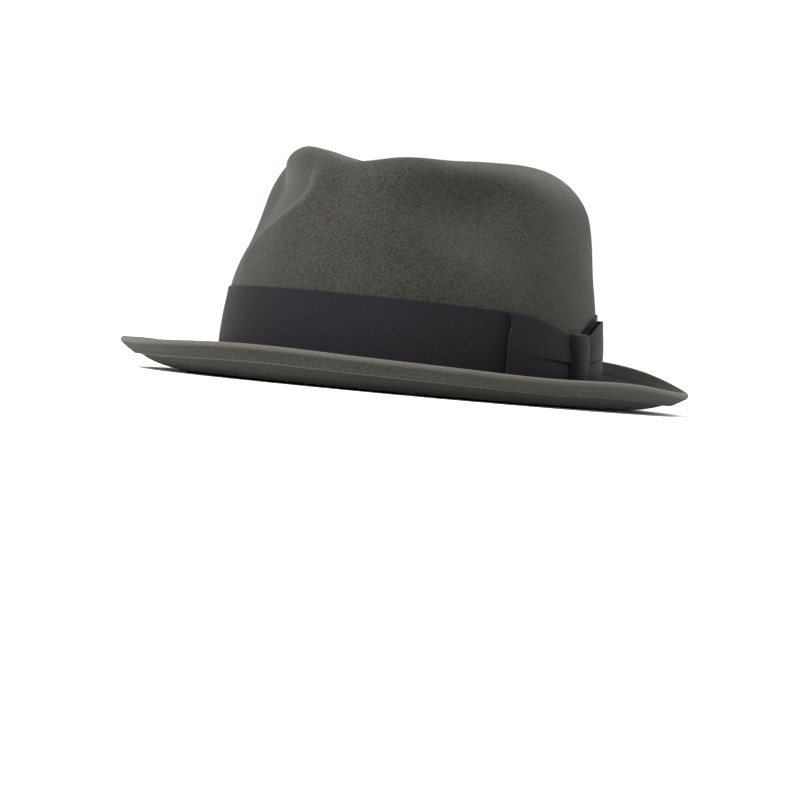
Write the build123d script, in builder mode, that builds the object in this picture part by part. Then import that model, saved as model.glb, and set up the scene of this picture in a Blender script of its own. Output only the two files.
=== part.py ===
"""Fedora hat: a felt body on a 59 cm head size, with its ribbon, bow, sweatband and lining.

The front of the hat faces -Y, the wearer's left is +X and +Z is up. The origin is on the
surface that the brim rests on, below the middle of the hat. Angles are measured round the
head in degrees, from 0 at the front through 90 at the wearer's left to 180 at the back.
"""

import os
from math import cos, degrees, atan2, exp, hypot, radians, sin, sqrt

from build123d import *

# Driving dimensions, in millimetres and degrees.
HALF_WIDTH = 90.0        # outside of the felt at the foot of the crown, across the head
HALF_LENGTH = 104.5      # the same, from front to back
FELT = 2.0               # thickness of the felt
BRIM_WIDTH = 47.6        # from the foot of the crown out to the fold of the rim, level
BRIM_OVAL = 2.5          # more at the front and back, less at the sides
WELT_WIDTH = 8.0         # level width of the edge that is turned under
WELT_FELT = 1.5          # thickness of the turned layer
JOIN_HEIGHT = 12.0       # level where the crown and the brim meet behind the ribbon
CROWN_TOP = 122.0        # above the highest point of the crown
ROOF_BLOCK_TOP = 150.0   # top of the block that cuts the crown to its roof
CROWN_LEVELS = (12, 28, 44, 58, 68, 76, 84, 92, 100, 108, 115, CROWN_TOP)
RIBBON_WIDTH = 37.5      # the outer ribbon band
RIBBON = 0.5             # its thickness
SWEATBAND_WIDTH = 38.0   # leather band against the head
LEATHER = 1.1
REED_RADIUS = 0.8        # plastic reed in the lower edge of the sweatband
LINING = 0.35
LINING_FOOT = 49.5       # lower edge of the side lining, above the sweatband
LINING_JOIN = 84.0       # level where the side lining meets the tip lining
UNDER = FELT + 0.3       # from the outside of the felt in to the lining
KNOT_ANGLE = 94.0        # middle of the bow, just behind the wearer's left
LABEL_LENGTH = 30.0
LABEL_WIDTH = 24.0
LABEL_HINGE_HEIGHT = 50.0
GAP = 0.25               # clearance between layers that lie on each other
SWEAT_FACE = FELT + 0.8  # from the outside of the felt in to the sweatband

HALF_TURN = tuple(range(0, 181, 10))


# ---------------------------------------------------------------- shape of the hat

def bump(value, centre, width):
    """A smooth bell curve, 1 at the centre."""
    return exp(-(((value - centre) / width) ** 2))


def oval(angle, half_width, half_length):
    """Radius of an ellipse in the direction of the angle."""
    across = sin(radians(angle)) / half_width
    along = cos(radians(angle)) / half_length
    return 1.0 / sqrt(across**2 + along**2)


def pinch(angle, height):
    """Depth of the two finger pinches, one each side of the front."""
    spread = 28.0 if height < 92.0 else 17.0
    return 13.0 * bump(abs(angle), 50.0, 19.0) * bump(height, 92.0, spread)


def crown_radius(angle, height, inset=0.0):
    """Outside of the crown wall, less an inset for the layers inside it."""
    rise = (height - 6.0) / 110.0
    taper = 1.0 - 0.02 * rise - 0.19 * rise**2
    wall = oval(angle, HALF_WIDTH * taper, HALF_LENGTH * taper)
    return wall - pinch(angle, height) - inset


def break_height(angle):
    """Height of the crease between the crown and the brim."""
    turn = radians(angle)
    return 6.3 - 2.4 * cos(turn) + 1.8 * cos(2 * turn)


def rim_height(angle):
    """Height of the rim's upper edge, highest at the back."""
    turn = radians(angle)
    level = 16.0 - 1.9 * cos(turn) + 4.0 * cos(2 * turn)
    return level - 2.2 * cos(3 * turn) + 1.4 * cos(4 * turn)


def rim_radius(angle):
    width = BRIM_WIDTH + BRIM_OVAL * cos(radians(2 * angle))
    return oval(angle, HALF_WIDTH + width, HALF_LENGTH + width)


def ridge_radius(angle):
    """Plan of the ridge round the dent in the crown's top."""
    turn = abs(angle)
    body = oval(angle, 44.0, 70.0)
    return body + 8.0 * bump(turn, 24.0, 16.0) + 4.0 * bump(turn, 0.0, 14.0)


def ridge_height(angle):
    """Height of the ridge: a dip at the front, lower at the back, higher on the left."""
    turn = abs(angle)
    level = 113.5 - 6.1 * bump(turn, 0.0, 17.0) - 5.5 * bump(turn, 180.0, 42.0)
    return level + 2.0 * sin(radians(angle)) - sin(radians(2 * angle))


def roof_height(x, y):
    """Top of the crown over a point: a dent inside the ridge, a round shoulder outside it."""
    angle = degrees(atan2(x, -y))
    ridge = ridge_radius(angle)
    top = ridge_height(angle)
    share = hypot(x, y) / ridge
    if share <= 1.0:
        floor = 93.0
        return floor + (top - floor) * share**2 * (3.0 - 2.0 * share)
    out = (hypot(x, y) - ridge) / (crown_radius(angle, 102.0) - ridge)
    return top - 30.0 * (1.0 - bump(out, 0.0, 1.1))


# ---------------------------------------------------------------- ways of building

def radial_plane(angle):
    """Upright plane through the middle of the hat: its X runs outwards, its Y runs up."""
    out = (sin(radians(angle)), -cos(radians(angle)), 0.0)
    normal = (-cos(radians(angle)), -sin(radians(angle)), 0.0)
    return Plane(origin=(0, 0, 0), x_dir=out, z_dir=normal)


def loft_round(outline, angles):
    """Loft the outline, a function of the angle, from section to section round the head."""
    sections = []
    for angle in angles:
        with BuildSketch(radial_plane(angle)) as section:
            with BuildLine():
                outline(angle)
            make_face()
        sections.append(section.sketch)
    loft(sections)


def loft_ring(outline):
    """Loft the outline round the wearer's left half of the head and mirror it to the right."""
    loft_round(outline, HALF_TURN)
    mirror(about=Plane.YZ)


def level_ring(height, inset):
    """The crown's outline at one height, as a closed face."""
    points = []
    for angle in range(-180, 180, 10):
        radius = crown_radius(angle, height, inset)
        turn = radians(angle)
        points.append((radius * sin(turn), -radius * cos(turn)))
    with BuildSketch(Plane.XY.offset(height)) as ring:
        with BuildLine():
            Spline(*points, periodic=True)
        make_face()
    return ring.sketch


def above_roof(drop):
    """Solid block over the crown's top, lowered by the thickness of the layers under it."""
    slices = []
    for x in range(-98, 99, 14):
        points = [(y, roof_height(x, y) - drop) for y in range(-112, 113, 14)]
        with BuildSketch(Plane.YZ.offset(x)) as side:
            with BuildLine():
                Spline(*points)
                Polyline(points[-1], (112, ROOF_BLOCK_TOP), (-112, ROOF_BLOCK_TOP), points[0])
            make_face()
        slices.append(side.sketch)
    return loft(slices, mode=Mode.PRIVATE)


def wall_block(levels, inset):
    """The crown's wall as a solid block between two levels."""
    return loft([level_ring(height, inset) for height in levels], mode=Mode.PRIVATE)


def crown_block(levels, inset):
    """The same block cut off by the crown's roof, both moved in by the inset."""
    with BuildPart() as block:
        add(wall_block(levels, inset))
        add(above_roof(inset), mode=Mode.SUBTRACT)
    return block.part


def strip(angle, low, high, inner, outer):
    """Section of a band that follows the crown wall, given by its heights and its insets."""
    middle = (low + high) / 2
    inside = [(crown_radius(angle, z, inner), z) for z in (low, middle, high)]
    outside = [(crown_radius(angle, z, outer), z) for z in (high, middle, low)]
    ThreePointArc(*inside)
    Line(inside[-1], outside[0])
    ThreePointArc(*outside)
    Line(outside[-1], inside[0])


def cord_section(radius, height, half):
    """Section of a cord that runs round the head, drawn with six sides."""
    corners = [radians(turn) for turn in range(30, 390, 60)]
    points = [(radius + half * cos(a), height + half * sin(a)) for a in corners]
    Polyline(*points, close=True)


# ---------------------------------------------------------------- felt body

def brim_point(angle, share):
    """Upper face of the brim, from the break (share 0) to the rim (share 1), in its section."""
    foot = break_height(angle)
    inner = crown_radius(angle, foot)
    outer = rim_radius(angle)
    lowest = 0.3
    if share < lowest:
        height = FELT + (foot - FELT) * (1.0 - share / lowest) ** 2
    else:
        curl = ((share - lowest) / (1.0 - lowest)) ** 2.3
        height = FELT + (rim_height(angle) - FELT) * curl
    return Vector(inner + (outer - inner) * share, height)


def brim_under(angle, share, depth):
    """A point below the brim's upper face, square to it."""
    step = 0.01
    before = brim_point(angle, share - step)
    after = brim_point(angle, share + step)
    along = (after - before).normalized()
    return brim_point(angle, share) + Vector(along.Y, -along.X) * depth


def brim_outline(angle):
    """Section of the brim with its turned-under edge and the collar inside the ribbon."""
    foot = break_height(angle)
    inner = crown_radius(angle, foot)
    collar = crown_radius(angle, JOIN_HEIGHT)
    welt = 1.0 - WELT_WIDTH / (rim_radius(angle) - inner)
    top = [brim_point(angle, s) for s in (0.0, 0.12, 0.3, 0.5, 0.7, 0.86, 0.98)]
    double = FELT + WELT_FELT
    turned = [brim_under(angle, s, double) for s in (0.98, (0.98 + welt) / 2, welt)]
    below = [brim_under(angle, s, FELT) for s in (welt, 0.7, 0.5, 0.3, 0.12)]
    corner = Vector(inner - FELT, foot - FELT)
    Line((collar - FELT, JOIN_HEIGHT), (collar, JOIN_HEIGHT))
    Line((collar, JOIN_HEIGHT), top[0])
    Spline(*top)
    along = (top[-1] - turned[0]).normalized()
    fold = (top[-1] + turned[0]) * 0.5 + Vector(along.Y, -along.X) * 1.2
    ThreePointArc(top[-1], fold, turned[0])
    Spline(*turned)
    Line(turned[-1], below[0])
    Spline(*below, corner)
    Line(corner, (collar - FELT, JOIN_HEIGHT))


def stitch_outline(side):
    """Section of the row of stitches that holds the turned edge, on one face of the brim."""
    def outline(angle):
        inner = crown_radius(angle, break_height(angle))
        share = 1.0 - (WELT_WIDTH - 1.6) / (rim_radius(angle) - inner)
        near, far = (-0.05, -0.4) if side == "upper" else (3.55, 3.9)
        half = 0.006
        Polyline(
            brim_under(angle, share - half, near),
            brim_under(angle, share + half, near),
            brim_under(angle, share + half, far),
            brim_under(angle, share - half, far),
            close=True,
        )
    return outline


with BuildPart() as felt_crown:
    add(crown_block(CROWN_LEVELS, 0.0))
    add(crown_block(CROWN_LEVELS, FELT), mode=Mode.SUBTRACT)
felt_crown.part.label = "felt_crown"

with BuildPart() as felt_brim:
    loft_ring(brim_outline)
felt_brim.part.label = "felt_brim"

with BuildPart() as upper_stitches:
    loft_ring(stitch_outline("upper"))

with BuildPart() as welt_stitching:
    loft_ring(stitch_outline("lower"))
    add(upper_stitches.part)
welt_stitching.part.label = "welt_stitching"


# ---------------------------------------------------------------- ribbon and bow

def ribbon_outline(angle):
    foot = break_height(angle) + 0.8
    strip(angle, foot, foot + RIBBON_WIDTH, -GAP, -GAP - RIBBON)


def bow_outline(front, back, thick_front, thick_back, waist_at_back):
    """Section of a flattened ribbon loop that lies on the band and narrows at the knot."""
    def outline(angle):
        share = (angle - front) / (back - front)
        waist = share if waist_at_back else 1.0 - share
        foot = break_height(angle)
        low = foot + 1.2 + 4.0 * waist**2
        high = foot + 38.6 - 7.5 * waist**1.5
        proud = thick_front + (thick_back - thick_front) * share
        base = RIBBON + 2 * GAP
        strip(angle, low, high, -base, -base - proud)
    return outline


def knot_outline(angle):
    foot = break_height(angle)
    edge = abs(angle - KNOT_ANGLE) / 3.4
    strip(angle, foot + 5.0, foot + 31.0, -RIBBON - 2 * GAP, -6.4 + 1.4 * edge**2)


with BuildPart() as ribbon_band:
    loft_ring(ribbon_outline)
ribbon_band.part.label = "ribbon_band"

with BuildPart() as bow_front_loop:
    loft_round(bow_outline(60.0, 90.2, 4.0, 3.0, True), (60.0, 67.0, 75.0, 83.0, 90.2))
bow_front_loop.part.label = "bow_front_loop"

with BuildPart() as bow_rear_loop:
    loft_round(bow_outline(97.8, 120.0, 3.0, 4.5, False), (97.8, 105.0, 112.0, 120.0))
bow_rear_loop.part.label = "bow_rear_loop"

with BuildPart() as bow_knot:
    loft_round(knot_outline, (90.6, 92.3, 94.0, 95.7, 97.4))
bow_knot.part.label = "bow_knot"


# ---------------------------------------------------------------- sweatband

def sweatband_outline(angle):
    foot = break_height(angle) + 1.0
    strip(angle, foot, foot + SWEATBAND_WIDTH, SWEAT_FACE + LEATHER, SWEAT_FACE)


def reed_outline(angle):
    foot = break_height(angle)
    radius = crown_radius(angle, foot, SWEAT_FACE + REED_RADIUS)
    cord_section(radius, foot - 0.2, REED_RADIUS)


def reed_tape_outline(angle):
    foot = break_height(angle)
    strip(angle, foot + 1.0, foot + 10.0, FELT + 0.6, FELT + GAP)


def zigzag_outline(angle):
    foot = break_height(angle)
    face = SWEAT_FACE + LEATHER + 0.05
    strip(angle, foot + 1.8, foot + 4.0, face + 0.3, face)


def seam_outline(angle):
    foot = break_height(angle)
    face = SWEAT_FACE + LEATHER + 0.05
    strip(angle, foot + 4.6, foot + 37.0, face + 0.3, face)


def little_bow_outline(angle):
    """A small ribbon bow on the back of the sweatband, pinched in the middle."""
    foot = break_height(angle)
    face = SWEAT_FACE + LEATHER + 0.5
    away = abs(abs(angle) - 180.0) / 7.5
    middle = foot + 31.0
    half = 1.8 + 2.6 * away
    strip(angle, middle - half, middle + half, face + 1.6 - 0.6 * away, face)


with BuildPart() as sweatband:
    loft_ring(sweatband_outline)
sweatband.part.label = "sweatband"

with BuildPart() as sweatband_reed:
    loft_ring(reed_outline)
sweatband_reed.part.label = "sweatband_reed"

with BuildPart() as reed_tape:
    loft_ring(reed_tape_outline)
reed_tape.part.label = "reed_tape"

with BuildPart() as sweatband_stitching:
    loft_ring(zigzag_outline)
sweatband_stitching.part.label = "sweatband_stitching"

with BuildPart() as sweatband_back_seam:
    loft_round(seam_outline, (178.8, 180.0, 181.2))
sweatband_back_seam.part.label = "sweatband_back_seam"

with BuildPart() as sweatband_bow:
    loft_round(little_bow_outline, (172.5, 176.0, 180.0))
    mirror(about=Plane.YZ)
sweatband_bow.part.label = "sweatband_bow"


# ---------------------------------------------------------------- lining and label

def lining_levels(bottom, top):
    """The crown's levels between two others, so that the lining follows the felt."""
    return [bottom] + [z for z in CROWN_LEVELS if bottom + 4.0 < z < top - 4.0] + [top]


def piping_outline(angle):
    height = LINING_JOIN - 0.8
    radius = crown_radius(angle, height, UNDER + LINING + 0.9)
    cord_section(radius, height, 0.6)


def tack_outline(low, high, inner, outer):
    def outline(angle):
        strip(angle, low, high, inner, outer)
    return outline


def label_face():
    """How far the label hangs from the middle, clear of the sweatband behind it."""
    return crown_radius(90.0, LABEL_HINGE_HEIGHT, SWEAT_FACE + LEATHER + 0.7)


with BuildPart() as lining_side:
    add(wall_block(lining_levels(LINING_FOOT, LINING_JOIN), UNDER))
    add(wall_block(lining_levels(LINING_FOOT, LINING_JOIN), UNDER + LINING), mode=Mode.SUBTRACT)
lining_side.part.label = "lining_side"

with BuildPart() as lining_tip:
    add(crown_block(lining_levels(LINING_JOIN + 0.3, CROWN_TOP), UNDER))
    add(crown_block(lining_levels(LINING_JOIN + 0.3, CROWN_TOP), UNDER + LINING),
        mode=Mode.SUBTRACT)
lining_tip.part.label = "lining_tip"

with BuildPart() as lining_piping:
    loft_ring(piping_outline)
lining_piping.part.label = "lining_piping"

with BuildPart() as lining_tacks:
    face = UNDER + LINING + 0.05
    for start in range(-165, 180, 30):
        span = (start, start + 0.8, start + 1.6)
        loft_round(tack_outline(50.3, 51.0, face + 0.3, face), span)
lining_tacks.part.label = "lining_tacks"

with BuildPart() as bow_tacks:
    for start in (62.0, 117.0):
        span = (start, start + 0.7, start + 1.4)
        loft_round(tack_outline(7.5, 8.2, -6.3, -5.9), span)
bow_tacks.part.label = "bow_tacks"

with BuildPart() as label_stitching:
    seam_height = LABEL_HINGE_HEIGHT + 0.5
    lining_face = crown_radius(90.0, seam_height + 1.0, UNDER + LINING) - 0.8
    with BuildSketch(Plane.XY.offset(seam_height)):
        with Locations(((label_face() + lining_face) / 2, 0)):
            Rectangle(lining_face - label_face(), LABEL_WIDTH)
    extrude(amount=1.0)
label_stitching.part.label = "label_stitching"

with BuildPart() as care_label:
    with BuildSketch(Plane.XY.offset(LABEL_HINGE_HEIGHT)):
        with Locations((label_face(), 0)):
            Rectangle(0.4, LABEL_WIDTH)
    extrude(amount=-LABEL_LENGTH)
care_label.part.label = "care_label"

pieces = (
    felt_crown, felt_brim, welt_stitching, ribbon_band,
    bow_front_loop, bow_rear_loop, bow_knot, bow_tacks,
    sweatband, sweatband_reed, reed_tape, sweatband_stitching,
    sweatband_back_seam, sweatband_bow,
    lining_side, lining_tip, lining_piping, lining_tacks,
    care_label, label_stitching,
)
os.makedirs("parts", exist_ok=True)
for piece in pieces:
    export_step(piece.part, f"parts/{piece.part.label}.step")
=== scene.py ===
# %% [markdown]
# # A felt fedora
#
# A fedora starts as one cone of felt. Steam and a block give it an oval wall, fingers press the dent
# and the two pinches into its top, and an iron turns up the brim. A ribbon, a bow, a leather
# sweatband and a satin lining are sewn to it afterwards. This notebook builds each of those pieces
# as a surface worked out with numpy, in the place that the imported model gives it.

# %% Load the frame
import math
import bmesh
import bpy
import numpy as np
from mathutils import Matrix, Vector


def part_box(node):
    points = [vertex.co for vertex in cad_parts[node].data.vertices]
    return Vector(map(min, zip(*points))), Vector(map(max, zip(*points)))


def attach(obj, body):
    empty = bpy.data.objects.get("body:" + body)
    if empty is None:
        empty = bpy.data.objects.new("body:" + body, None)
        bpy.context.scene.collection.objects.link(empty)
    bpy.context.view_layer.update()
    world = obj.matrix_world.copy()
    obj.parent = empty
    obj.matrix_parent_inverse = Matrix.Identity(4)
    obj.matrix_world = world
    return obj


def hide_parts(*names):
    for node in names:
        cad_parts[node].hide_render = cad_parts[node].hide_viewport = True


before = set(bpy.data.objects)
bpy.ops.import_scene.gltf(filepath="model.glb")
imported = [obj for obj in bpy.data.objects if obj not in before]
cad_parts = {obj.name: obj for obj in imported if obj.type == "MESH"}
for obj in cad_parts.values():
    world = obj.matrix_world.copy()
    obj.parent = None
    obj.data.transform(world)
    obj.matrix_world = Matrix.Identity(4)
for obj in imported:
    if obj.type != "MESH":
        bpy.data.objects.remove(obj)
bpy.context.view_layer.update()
MM = 0.001

# %% [markdown]
# ## The camera
#
# The hat is seen from its front left, level with its brim, and a little rolled because the head
# below it tilts. A camera could be aimed with a constraint, but three angles and a distance say the
# same in numbers, and a matrix made of them leaves nothing to solve. A long lens far away keeps the
# perspective nearly flat, so that the brim stays a slim line.

# %% The camera
AZIMUTH = math.radians(27.1)
ELEVATION = math.radians(0.9)
ROLL = math.radians(5.3)
DISTANCE = 2.0
LENS = 181.8
SHIFT = (-0.0064, -0.0134)

toward_camera = np.array([
    math.sin(AZIMUTH) * math.cos(ELEVATION),
    -math.cos(AZIMUTH) * math.cos(ELEVATION),
    math.sin(ELEVATION),
])
to_right = np.array([math.cos(AZIMUTH), math.sin(AZIMUTH), 0.0])


def look_matrix(back, right, roll):
    """A camera's axes as columns: right and up turned by the roll about the view, then backwards."""
    up = np.cross(back, right)
    turned_right = right * math.cos(roll) + up * math.sin(roll)
    turned_up = up * math.cos(roll) - right * math.sin(roll)
    return np.column_stack([turned_right, turned_up, back])


def add_camera():
    """A camera at the distance, looking back along the view."""
    data = bpy.data.cameras.new("camera")
    data.lens = LENS
    data.sensor_width = 36.0
    data.shift_x, data.shift_y = SHIFT
    data.clip_end = 50.0
    camera = bpy.data.objects.new("camera", data)
    matrix = np.eye(4)
    matrix[:3, :3] = look_matrix(toward_camera, to_right, ROLL)
    matrix[:3, 3] = toward_camera * DISTANCE
    camera.matrix_world = matrix.T
    bpy.context.scene.collection.objects.link(camera)
    bpy.context.scene.camera = camera


add_camera()
print("camera", DISTANCE, "m away, lens", LENS, "mm")

# %% [markdown]
# ## Floor and light
#
# White walls all round a studio give a soft light from every side. They could be modelled, but an
# even white world gives the same light with less noise. One large lamp high on the left of the
# camera shapes the felt, a weaker one behind on the right draws the edge of the crown, and a small
# one near the camera opens the shade under the brim. The floor is a plain pale disc, just below
# the lowest line of the brim so that the two never touch.

# %% Floor and light
FLOOR_RADIUS = 3.0
FLOOR_HEIGHT = -0.0008
MIDDLE_HEIGHT = 0.06


def add_floor():
    """A round sheet of pale paper."""
    bpy.ops.mesh.primitive_circle_add(
        vertices=64, radius=FLOOR_RADIUS, fill_type="NGON", location=(0, 0, FLOOR_HEIGHT))
    floor = bpy.context.object
    floor.name = "floor"
    paper = bpy.data.materials.new("pale_paper")
    paper.use_nodes = True
    shader = paper.node_tree.nodes["Principled BSDF"]
    shader.inputs["Base Color"].default_value = (0.96, 0.96, 0.96, 1.0)
    shader.inputs["Roughness"].default_value = 0.9
    floor.data.materials.append(paper)


def add_lamp(name, place, size, power):
    """A square area lamp, its size in metres and its power in watts, that faces the hat."""
    data = bpy.data.lights.new(name, "AREA")
    data.size = size
    data.energy = power
    lamp = bpy.data.objects.new(name, data)
    place = np.array(place)
    back = (place - np.array([0.0, 0.0, MIDDLE_HEIGHT])) / np.linalg.norm(place)
    back /= np.linalg.norm(back)
    right = np.cross([0.0, 0.0, 1.0], back)
    right /= np.linalg.norm(right)
    matrix = np.eye(4)
    matrix[:3, :3] = np.column_stack([right, np.cross(back, right), back])
    matrix[:3, 3] = place
    lamp.matrix_world = matrix.T
    bpy.context.scene.collection.objects.link(lamp)


def add_world(strength):
    """An even white light from all sides."""
    world = bpy.data.worlds.new("studio")
    world.use_nodes = True
    world.node_tree.nodes["Background"].inputs["Color"].default_value = (1.0, 1.0, 1.0, 1.0)
    world.node_tree.nodes["Background"].inputs["Strength"].default_value = strength
    bpy.context.scene.world = world


add_floor()
add_world(1.03)
level_view = np.array([toward_camera[0], toward_camera[1], 0.0])
add_lamp("key", -1.5 * to_right + 1.2 * level_view + [0, 0, 2.0], 1.1, 165.0)
add_lamp("edge", 1.2 * to_right - 1.3 * level_view + [0, 0, 2.0], 1.0, 32.0)
add_lamp("fill", 0.5 * to_right + 2.4 * level_view + [0, 0, 0.35], 1.0, 14.0)
bpy.context.scene.view_settings.view_transform = "Standard"
print("lamps", [light.name for light in bpy.data.lights])

# %% [markdown]
# ## The shape of the hat
#
# A block gives the crown its oval, and fingers give it a dent and two pinches. The shape could be
# sculpted, but formulas keep every layer of the hat, from ribbon to lining, at its true distance
# from the felt. Everything is measured round the head in degrees, from 0 at the front through 90 at
# the wearer's left, so the crown is a radius for each angle and height. All sizes are in
# millimetres.

# %% Sizes and curves
FELT = 2.0
WELT_FELT = 1.5
WELT_WIDTH = 8.0
HALF_WIDTH, HALF_LENGTH = 90.0, 104.5
BRIM_WIDTH, BRIM_OVAL = 47.6, 2.5
JOIN_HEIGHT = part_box("felt_crown")[0].z / MM
DENT_FLOOR = 93.0
PINCH_DEPTH = 13.0
KNOT_ANGLE = 90.6


def bump(value, centre, width):
    """A smooth bell curve: 1 at the centre, falling off with the square of the distance."""
    return np.exp(-(((value - centre) / width) ** 2))


def oval(angle, half_width, half_length):
    """Radius of an ellipse in each direction."""
    turn = np.radians(angle)
    return 1.0 / np.hypot(np.sin(turn) / half_width, np.cos(turn) / half_length)


def smooth_step(value):
    """0 below 0 and 1 above 1, with a cubic between."""
    value = np.clip(value, 0.0, 1.0)
    return value * value * (3.0 - 2.0 * value)

# %% [markdown]
# ## The wall and its pinches
#
# The wall is an ellipse that tapers as it rises. A finger leaves a hollow that is deepest near the
# top and fades downwards. On the wearer's right the felt was pressed harder, and the hollow ends
# towards the nose in a crisp fold, so the two sides have their own numbers.

# %% The wall and its pinches
PINCH_ANGLE = 50.0
PINCH_HEIGHT = 92.0


def pinch_reach(angle, height):
    """Half width of a pinch towards the nose, in degrees: it opens as it rises."""
    right = 15.0 + 25.0 * smooth_step((height - 55.0) / 40.0)
    left = 20.0 + 14.0 * smooth_step((height - 58.0) / 32.0)
    return np.where(angle < 0.0, right, left)


def pinch(angle, height):
    """Depth of the finger pinches. Up the wall it is a bell, longer below. Round the head it is a
    bell behind and 1 - d^2 towards the nose, with d the share of the reach. On the wearer's right
    that ends in a crisp fold, and on the left a power softens it."""
    spread = np.where(height < PINCH_HEIGHT, 28.0, 15.3)
    away = np.abs(angle) - PINCH_ANGLE
    near_nose = np.clip(np.minimum(away, 0.0) / pinch_reach(angle, height), -1.0, 0.0)
    front = (1.0 - near_nose**2) ** np.where(angle < 0.0, 1.0, 1.6)
    back_share = np.maximum(away, 0.0) / np.where(angle < 0.0, 18.3, 24.0)
    behind = np.exp(-(back_share ** np.where(angle < 0.0, 2.6, 2.0)))
    return PINCH_DEPTH * front * behind * np.exp(-(((height - PINCH_HEIGHT) / spread) ** 2))


def fold_highlight(angle, height):
    """Painted highlight on the crisp fold of the right pinch: a thin bell on its line, fading at both ends.
    """
    line = pinch_reach(angle, height) - PINCH_ANGLE
    along = smooth_step((height - 57.0) / 10.0) * smooth_step((108.0 - height) / 12.0)
    return bump(angle, line, 1.5) * along


def unevenness(angle, height):
    """Slow hand-made ripples in the felt, a few tenths of a millimetre: a sum of sine waves."""
    turn = np.radians(angle)
    return (0.25 * np.sin(3 * turn + 0.05 * height) + 0.18 * np.sin(7 * turn - 0.09 * height + 1.0)
            + 0.10 * np.sin(13 * turn + 0.13 * height + 2.0))


def back_fullness(angle, height):
    """The crown is a little fuller behind the bow: a bell round the head that grows up the wall."""
    amount = 0.6 * smooth_step((height - 8.0) / 30.0) + 2.0 * smooth_step((height - 60.0) / 35.0)
    return amount * bump(angle, 119.0, 27.0)


def crown_radius(angle, height, inset=0.0):
    """Outside of the crown wall, tapering with height, less the pinches and an inset."""
    rise = (height - 6.0) / 110.0
    taper = 1.0 - 0.02 * rise - 0.19 * rise**2
    wall = oval(angle, HALF_WIDTH, HALF_LENGTH) * taper + back_fullness(angle, height)
    return wall - pinch(angle, height) - inset


print("foot of the crown", round(2 * float(crown_radius(np.array(90.0), np.array(6.0)))), "mm wide")

# %% [markdown]
# ## Lines round the hat
#
# The crease above the brim, the rim and the ridge round the dent each rise and fall as they go
# round. A few cosine waves of the angle close on themselves, so they are smooth at the back too.

# %% Lines round the hat
def break_height(angle):
    """Height of the crease between crown and brim, from two cosine waves round the head."""
    turn = np.radians(angle)
    return 6.3 - 2.4 * np.cos(turn) + 1.8 * np.cos(2 * turn)


def rim_height(angle):
    """Height of the brim's rim, from four cosine waves: it rises most at the back."""
    turn = np.radians(angle)
    level = 16.0 - 1.9 * np.cos(turn) + 4.0 * np.cos(2 * turn)
    return level - 2.2 * np.cos(3 * turn) + 1.4 * np.cos(4 * turn)


def rim_radius(angle):
    """Plan of the rim: the crown's ellipse made larger by a brim that is widest at the front and
    back."""
    width = BRIM_WIDTH + BRIM_OVAL * np.cos(np.radians(2 * angle))
    turn = np.radians(angle)
    return 1.0 / np.hypot(np.sin(turn) / (HALF_WIDTH + width), np.cos(turn) / (HALF_LENGTH + width))


def ridge_radius(angle):
    """Plan of the ridge round the dent: an oval, pushed out at the two front corners."""
    turn = np.abs(angle)
    body = oval(angle, 44.0, 70.0)
    return body + 8.0 * bump(turn, 24.0, 16.0) + 4.0 * bump(turn, 0.0, 14.0)


def ridge_height(angle):
    """Height of the ridge: dips at the front and back, and a little more on the wearer's left."""
    turn = np.abs(angle)
    level = 113.7 - 6.1 * bump(turn, 0.0, 15.5) - 5.5 * bump(turn, 180.0, 42.0)
    level = level - 1.3 * bump(angle, 32.0, 18.0)
    return level + 1.2 * np.sin(np.radians(angle)) - np.sin(np.radians(2 * angle))


def felt_radius(angle, height):
    """The crown's wall with its ripples, which die out behind the ribbon."""
    calm = np.clip((height - 45.0) / 15.0, 0.0, 1.0)
    return crown_radius(angle, height) + unevenness(angle, height) * calm


def place(angle, radius, height):
    """Points from angle, radius and height, which may be arrays of one shape."""
    angle, radius, height = np.broadcast_arrays(angle, radius, height)
    turn = np.radians(angle)
    return np.stack([radius * np.sin(turn), -radius * np.cos(turn), height], axis=-1)


print("ridge", round(float(ridge_height(np.array(90.0))), 1), "mm high at the side")

# %% [markdown]
# ## From a grid to a mesh
#
# A surface is a grid of points with rows and columns. Blender could join such rows with its own
# bridge tool, but a table of indices makes all the faces at once. Where a grid closes on itself, its
# last column joins its first. The doubles at a pole are merged, and the sign of the volume tells
# whether the faces look outwards. The pattern's own coordinates, in millimetres of cloth, go into a
# UV map.

# %% From a grid to a mesh
def signed_volume(points, quads):
    """Volume inside the quads, from the sum of triple products of each face's two triangles."""
    a, b, c, d = (points[quads[:, i]] for i in range(4))
    return (np.einsum("ij,ij->", a, np.cross(b, c)) + np.einsum("ij,ij->", a, np.cross(c, d))) / 6.0


def merge_doubles(mesh):
    """Joins the points that lie on one another, as at the middle of the dent."""
    shape = bmesh.new()
    shape.from_mesh(mesh)
    bmesh.ops.remove_doubles(shape, verts=shape.verts, dist=1e-7)
    shape.to_mesh(mesh)
    shape.free()


def piece_from(mesh, body, sharp=None):
    """A smooth object of the mesh, riding on a body. Edges steeper than sharp degrees stay sharp."""
    mesh.polygons.foreach_set("use_smooth", np.ones(len(mesh.polygons), bool))
    if sharp:
        mesh.set_sharp_from_angle(angle=math.radians(sharp))
    piece = bpy.data.objects.new(mesh.name, mesh)
    bpy.context.scene.collection.objects.link(piece)
    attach(piece, body)
    return piece


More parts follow.
